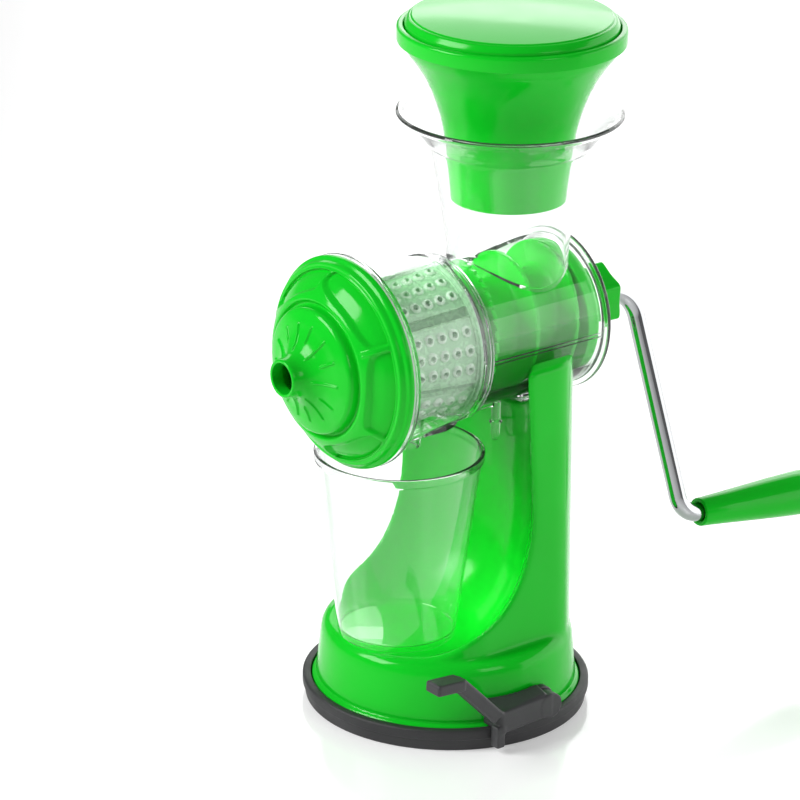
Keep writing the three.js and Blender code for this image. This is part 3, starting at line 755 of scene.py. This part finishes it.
PANEL_ROWS = (-15, 0, 15)  # degrees from the panel's middle
PANEL_TURN, PANEL_HALF = 9.3, 26.2  # degrees
HOLE_Y = (-41.6, -35.3, -29.0, -22.8, -16.4)
BUMP_R, BUMP_HEIGHT = 2.6, 1.5
PIT_R, PIT_DEPTH = 1.1, 2.7
STRAINER_WALL = 1.5


def filter_cone(looks):
    """The strainer: six panels of bumps between plain bands edged by ribs. The bumps' pits are
    blind, and painted shade on their faces makes them read as holes; the bands carry painted shade too,
    and the bumps a painted highlight."""
    columns, rows = 660, 124
    angle = np.arange(columns) / columns * TAU
    along = np.linspace(-49.6, -12.6, rows)
    grid_angle, grid_y = np.meshgrid(angle, along, indexing="ij")
    radius = np.interp(grid_y, [-50, -12], [27.0, 31.4])
    degrees = np.degrees(grid_angle)
    panel = (degrees - PANEL_TURN + 30) % 60 - 30
    edge = np.abs(panel) - PANEL_HALF
    relief = 1.0 * np.exp(-(edge / 0.6) ** 2) - 1.0 * ease(edge / 0.6)
    # Slot 2 on the bands: painted shade.
    tint = np.where(edge > 0.5, 2, 0)
    for row in PANEL_ROWS:
        for y in HOLE_Y:
            across = np.radians(panel - row) * radius
            distance = np.hypot(across, grid_y - y)
            dome = np.clip(1 - (distance / BUMP_R) ** 2, 0, None)
            relief += BUMP_HEIGHT * dome ** 0.75 - PIT_DEPTH * np.exp(-(distance / PIT_R) ** 8)
            # Slot 1 on the bumps is a painted highlight; slot 2 in the pits is painted shade.
            tint[distance < BUMP_R - 0.1] = 1
            tint[distance < PIT_R - 0.05] = 2
    outer = turned_points(BARREL, radius + relief, grid_angle, grid_y)
    ends = [0, rows - 1]
    inner = turned_points(BARREL, radius[:, ends] - STRAINER_WALL, grid_angle[:, ends], grid_y[:, ends])
    points = np.concatenate([outer.reshape(-1, 3), inner.reshape(-1, 3)])
    first = columns * rows
    faces = sheet_faces(columns, rows, 0, False) + sheet_faces(columns, 2, first, True)
    for end, j in enumerate(ends):
        for i in range(columns):
            k = (i + 1) % columns
            quad = (i * rows + j, k * rows + j, first + 2 * k + end, first + 2 * i + end)
            faces.append(quad if j == 0 else quad[::-1])
    if volume(points, faces) < 0:
        faces = [face[::-1] for face in faces]
    ring = lathe(rounded([
        (29.9, -13.0), (32.2, -13.0, 0.3), (32.4, -12.4, 0.2), (33.9, -12.4, 0.4), (33.9, -10.2, 0.4),
        (29.9, -10.2, 0.3),
    ]), BARREL, 192)
    tip = lathe(rounded([(22.6, -50.2), (27.4, -50.2, 0.5), (27.4, -48.8, 0.5), (22.6, -48.8)]),
                BARREL, 160)
    made = piece("strainer_cone", [(points, faces), ring, tip], looks["frosted"], "stand",
                 ["mesh_filter"])
    # The painted highlight and painted shade materials, slots 1 and 2.
    for look in ("frosted_painted_highlight", "frosted_painted_shade"):
        made.data.materials.append(looks[look])
    tints = np.zeros(len(made.data.polygons), int)
    tints[:columns * (rows - 1)] = tint[:, :-1].reshape(-1)
    made.data.polygons.foreach_set("material_index", tints)


def sheet_faces(columns, rows, base, turned):
    faces = []
    for i in range(columns):
        for j in range(rows - 1):
            a, b = base + i * rows + j, base + ((i + 1) % columns) * rows + j
            quad = (a, b, b + 1, a + 1)
            faces.append(quad[::-1] if turned else quad)
    return faces


# ---------------------------------------------------------------- cap
PANEL_EDGES = (27.4, 92.0, 152.0, 211.0, 268.0, 324.0)
LONG_RIBS = (-0.5, 54.5, 104.5, 155.0, 207.0, 256.0, 305.0)
SHORT_RIBS = (27.5, 81.0, 129.0, 181.0, 233.0, 279.0, 329.0)


def ease(x):
    """A smooth step from 0 to 1."""
    x = np.clip(x, 0, 1)
    return x * x * (3 - 2 * x)


def cap_relief(radius, degrees):
    """How far the cap's face stands out of its plain turned shape."""
    relief = np.zeros_like(radius)
    for i, edge in enumerate(PANEL_EDGES):
        following = PANEL_EDGES[(i + 1) % 6] + (360 if i == 5 else 0)
        middle, half = (edge + following) / 2, (following - edge) / 2
        offset = (degrees - middle + 180) % 360 - 180
        bend = 3.5 * np.sin(np.clip((radius - 33) / 9.5, 0, 1) * math.pi)
        low_bend = bend if edge != PANEL_EDGES[0] else 0
        high_bend = bend if following != PANEL_EDGES[0] + 360 else 0
        side = np.where(offset < 0, offset + half - low_bend, half - offset + high_bend)
        side_mm = np.radians(side) * radius - 0.9
        share = np.clip(np.abs(offset) / half, 0, 1)
        inner = radius - (32.6 + 3.6 * share ** 3)
        outer = 41.6 - radius
        depth = blend_min(blend_min(side_mm, inner, 2.5), outer, 1.0)
        relief -= 2.4 * ease(depth / 0.7)
    line = np.abs((degrees - PANEL_EDGES[0] + 180) % 360 - 180)
    across = np.radians(line) * radius
    span = ease((radius - 32.4) / 0.8) * ease((42.0 - radius) / 0.6)
    relief += 0.55 * span * np.exp(-((across - 0.75) / 0.42) ** 2)
    for ribs, low in ((LONG_RIBS, 10.2), (SHORT_RIBS, 13.8)):
        for rib in ribs:
            across = np.radians((degrees - rib + 180) % 360 - 180) * radius
            span = ease((radius - low) / 1.2) * ease((21.8 - radius) / 0.6)
            relief += 0.9 * span * np.exp(-(across / 0.42) ** 2)
    return relief


def front_cap(looks):
    face_line = [(7.6, -91.75), (8.2, -91.4), (8.45, -90.6), (8.6, -89), (9.1, -86.6), (10.4, -84.2),
                 (12.6, -82.2), (15.4, -80.6), (18.6, -79.4), (22.2, -78.4), (25.4, -77.2),
                 (26.6, -76.6), (27.25, -75.9), (27.5, -75.0), (27.65, -73.2), (28.0, -72.0),
                 (28.8, -71.9), (29.5, -72.7), (30.4, -73.3), (32.0, -72.6), (34, -71.3), (37.6, -68.6),
                 (40.2, -65.6), (41.6, -63.6), (42.3, -62.9), (43.0, -63.0), (43.7, -62.6),
                 (44.2, -61.6), (44.6, -60.6), (45.3, -60.2), (46.0, -59.6), (46.25, -58.8),
                 (46.25, -57.6), (46.0, -57.0), (45.5, -56.9)]
    dense = resample(face_line, 0.44)
    sides = 460
    back = rounded([
        (45.5, -56.9), (38.7, -56.9, 0.3), (38.7, -51, 0.4), (36.9, -51, 0.4), (36.9, -59.6, 0.6),
        (34.4, -66.6), (28.6, -69.6), (22.4, -73.6, 0.4), (22.4, -47.2, 0.3), (21.0, -47.2, 0.3),
        (21.0, -75.2, 0.4), (9.6, -81.0, 2), (6.8, -86, 1.5), (6.8, -91.4, 0.3), (7.6, -91.75),
    ])

    ring_number = itertools.count()

    def shape(radius, angles, along):
        """Puts the relief on the face, whose rings come first in the profile."""
        on_face = next(ring_number) < len(dense)
        if on_face and along[0] < -60 and radius[0] > 9.5:
            return radius, along - cap_relief(radius, np.degrees(angles))
        return radius, along

    piece("cap_shell", [lathe(dense + back[1:-1], BARREL, sides, shape)], looks["green"], "cap",
          ["front_cap"], sharp=0)


def resample(points, step):
    """The line through the points, in even steps."""
    line = np.array(smooth_line(points, 6))
    length = np.concatenate([[0], np.cumsum(np.linalg.norm(np.diff(line, axis=0), axis=1))])
    places = np.linspace(0, length[-1], int(length[-1] / step) + 1)
    return [(float(a), float(b)) for a, b in zip(np.interp(places, length, line[:, 0]),
                                                  np.interp(places, length, line[:, 1]))]


# ---------------------------------------------------------------- drive
AUGER_PITCH = 22
AUGER_TEETH = 40
# Radius and y of the core. The negative radii close the outline beyond the axis.
AUGER_CORE = [(-20, -58), (2.5, -58), (4.4, -57), (9.5, -50), (13, -40), (17, -22), (20, -5),
              (20, 51), (-20, 51)]


def auger_distance(x, y, z):
    up = z - BARREL_Z
    radius = np.hypot(x, up)
    core = outline_distance(AUGER_CORE, radius, y)
    angle = np.arctan2(up, x)
    half = AUGER_PITCH / 2
    offset = (y + 44 - angle / TAU * AUGER_PITCH + half) % AUGER_PITCH - half
    tip = np.where(y > -9.4, 31.0, 29.1 + 0.1186 * (y + 13))
    tooth = (angle * AUGER_TEETH / TAU) % 1
    tip = tip - np.where((y > -9) & (y < 6), 1.4 * tooth, 0)
    flight = np.maximum(np.abs(offset) * 0.97 - (1.0 + 0.6 * (31 - radius) / 20), radius - tip)
    flight = np.maximum(flight, np.maximum(-44.2 - y, y - 50.5))
    return blend_min(core, flight, 2.5)


def auger(looks):
    step = 0.9
    net = surface_net(auger_distance, planes(-33, 33, step), planes(-60, 53, step),
                      planes(BARREL_Z - 33, BARREL_Z + 33, step))
    disc = lathe(rounded([
        (0, 50), (31.4, 50, 0.6), (31.4, 57, 2.2), (13, 57, 0.5), (13, 53.6), (0, 53.6),
    ]), BARREL, 160)
    piece("auger_screw", [net, disc], looks["green"], "crank", ["auger"], sharp=40)


def drive_nut(looks):
    def lobes(radius, angle, along):
        """Six ridges with hollow flanks between them. The CAD nut has four plain lobes."""
        ridge = 2.7 - 2.8 * np.sqrt(np.cos(3 * angle) ** 2 + 0.04)
        return radius + np.where(radius > 10.5, ridge * (radius - 10.5) / 2.2, 0), along

    knob = rounded([
        (0, 72.8), (11.4, 72.8, 0.5), (12.5, 73.8, 0.8), (12.7, 84.4, 1.0), (11.2, 85.6, 0.9),
        (4.6, 85.9, 0.5), (4.6, 84.4), (0, 84.4),
    ], 8)
    neck = rounded([(0, 59.8), (10, 59.8, 0.5), (10, 73.5), (0, 73.5)])
    piece("hub_nut", [lathe(knob, BARREL, 288, lobes), lathe(neck, BARREL, 96)], looks["green"],
          "crank", ["drive_nut"], sharp=50)


def crank_line():
    """Directions of the shaft, arm and grip, and the two corners of the rod."""
    turn, lean, droop = (math.radians(a) for a in (15, 6.1, 4.8))
    out = np.array((0.0, 1.0, 0.0))
    away = np.array((math.sin(turn), 0.0, -math.cos(turn)))
    arm = away * math.cos(lean) + out * math.sin(lean)
    grip = out * math.cos(droop) + away * math.sin(droop)
    first = np.array((0.0, CRANK_CORNER_Y, BARREL_Z))
    return out, arm, grip, first, first + arm * CRANK_ARM


def bend(corner, before, after, reach, steps=16):
    """A round bend between two straight lines that meet at a corner."""
    start, end = corner - before * reach, corner + after * reach
    t = np.linspace(0, 1, steps)[:, None]
    weight = math.sqrt((1 + before @ after) / 2)
    top = start * (1 - t) ** 2 + 2 * weight * corner * t * (1 - t) + end * t ** 2
    return top / ((1 - t) ** 2 + 2 * weight * t * (1 - t) + t ** 2)


def crank(looks):
    out, arm, grip, first, second = crank_line()
    start = np.array((0.0, 77.6, BARREL_Z))
    line = np.concatenate([
        [start], bend(first, out, arm, 14), bend(second, arm, grip, 9), [second + grip * 70]])
    piece("crank_bar", [tube(line, CRANK_ROD_R, 32)], looks["chrome"], "crank", ["crank_rod"])
    where = axis_frame(second + grip * GRIP_START, grip, (1, 0, 0))
    body = rounded([
        (4.3, 0.6), (5.0, 0, 0.4), (6.4, 0, 1.0), (7.3, 14), (8.2, 27), (9.2, 41), (9.9, 54),
        (10.3, 61), (9.95, 66.4, 0.4), (4.3, 66.4),
    ])
    piece("grip_sleeve", [lathe(body, where, 96)], looks["green"], "grip", ["crank_grip"])
    plug = rounded([(0, 66.8), (9.85, 66.8, 0.4), (9.4, 69.4, 1.6), (7.2, 71.3, 2), (0, 72)])
    piece("grip_plug", [lathe(plug, where, 96)], looks["green"], "grip", ["grip_cap"])


# ---------------------------------------------------------------- loose pieces
def pusher(looks):
    outer = smooth_line([(24.9, 224.0), (25.4, 230), (26.5, 240), (28.0, 252), (30.2, 262),
                         (33.2, 271), (37.0, 279.2), (41.2, 285.8), (44.8, 290.6), (47.2, 294.4)])
    profile = rounded([(0, 222.5), (24.2, 222.5, 0.6)]) + outer + rounded([
        (49.1, 295.2, 0.8), (49.2, 301.8, 1.3), (46.3, 301.8, 0.6), (46.3, 299.4, 0.3),
        (44.2, 299.2), (40, 288), (32.4, 276), (25.4, 250), (23.0, 224.9), (0, 224.9)])
    piece("pusher_shell", [lathe(profile, upright(HOPPER_Y), 160)], looks["green"], "pusher",
          ["pusher_body"])
    dome = [(42.6 * (1 - i / 24), 308.3 - 2.3 * (1 - i / 24) ** 2.4) for i in range(25)]
    lid = rounded([(0, 299.5), (46.0, 299.5, 0.3), (45.7, 302.8, 1.2), (44.2, 305.5, 1.4)]) + dome
    piece("pusher_top", [lathe(lid, upright(HOPPER_Y), 160)], looks["green"], "pusher",
          ["pusher_lid"])


def juice_cup(looks):
    profile = rounded([
        (0, 36.9), (25.6, 36.9, 1.0), (36.0, 117.9, 0.6), (36.9, 118.6, 0.5), (37.0, 122.1, 0.7),
        (35.2, 122.1, 0.5), (34.4, 117.6, 1.5), (24.9, 39.4, 2.0), (0, 39.2)], 6)
    piece("juice_cup_wall", [lathe(profile, upright(CUP_Y), 128)], looks["clear"], "cup",
          ["juice_cup"])


# ---------------------------------------------------------------- CAD pieces that stay
KEPT = {
    "charcoal": ["base_plate", "suction_stem"],
    "chrome": ["base_screw_1", "base_screw_2", "base_screw_3", "base_screw_4", "cam_shaft",
               "head_screw_1", "head_screw_2", "auger_shaft", "grip_washer"],
    "nylon": ["shaft_bush"],
    "silicone": ["filter_seal", "cap_gasket", "shaft_washer"],
}


def dress_cad(looks):
    for slot, names in KEPT.items():
        for name in names:
            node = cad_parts[name]
            node.data.materials.clear()
            node.data.materials.append(looks[slot])


# ---------------------------------------------------------------- studio
# Place and size in metres, power in watts, and the height that the lamp is aimed at.
LIGHTS = {
    "backdrop": ((0.0, 2.5, 0.9), (8.0, 1.8), 90.0, 0.9),
    "key": ((-0.6, -1.4, 1.15), (0.9, 0.9), 30.0, 0.14),
    "side": ((1.5, 0.1, 0.9), (0.6, 0.6), 3.5, 0.14),
    "rim": ((-1.6, 1.3, 1.25), (2.2, 0.9), 12.0, 0.14),
}
WORLD_STRENGTH = 0.18
FLOOR_GLOW = 0.30
FLOOR_HALF = 6


def add_studio():
    """A glossy, faintly glowing white table in a dim room, with a long bright wall and lamps."""
    mesh = bpy.data.meshes.new("floor")
    corners = [(x * FLOOR_HALF, y * FLOOR_HALF, 0) for x, y in ((-1, -1), (1, -1), (1, 1), (-1, 1))]
    mesh.from_pydata(corners, [], [(0, 1, 2, 3)])
    floor = bpy.data.objects.new("floor", mesh)
    material, _, _ = new_material(
        "studio_floor", Base_Color=(0.85, 0.85, 0.85, 1), Roughness=0.12,
        Emission_Color=(1, 1, 1, 1), Emission_Strength=FLOOR_GLOW)
    mesh.materials.append(material)
    bpy.context.scene.collection.objects.link(floor)
    world = bpy.data.worlds.new("studio")
    world.use_nodes = True
    background = world.node_tree.nodes["Background"]
    background.inputs["Color"].default_value = (1, 1, 1, 1)
    background.inputs["Strength"].default_value = WORLD_STRENGTH
    bpy.context.scene.world = world
    for name, values in LIGHTS.items():
        add_light(name, *values)
    bpy.context.scene.view_settings.view_transform = "Standard"


def add_light(name, place, size, power, aim_height):
    data = bpy.data.lights.new(name, "AREA")
    data.shape = "RECTANGLE"
    data.size, data.size_y = size
    data.energy = power
    lamp = bpy.data.objects.new(name, data)
    lamp.location = place
    aim = Vector((0, 0, aim_height)) - Vector(place)
    lamp.rotation_euler = aim.to_track_quat("-Z", "Y").to_euler()
    bpy.context.scene.collection.objects.link(lamp)


def build():
    add_camera()
    add_studio()
    looks = make_materials()
    for make in (suction_foot, stand_shell, suction_lever, feed_barrel, feed_hopper, juice_chamber,
                 filter_cone, front_cap, auger, drive_nut, crank, pusher, juice_cup, dress_cad):
        make(looks)


build()
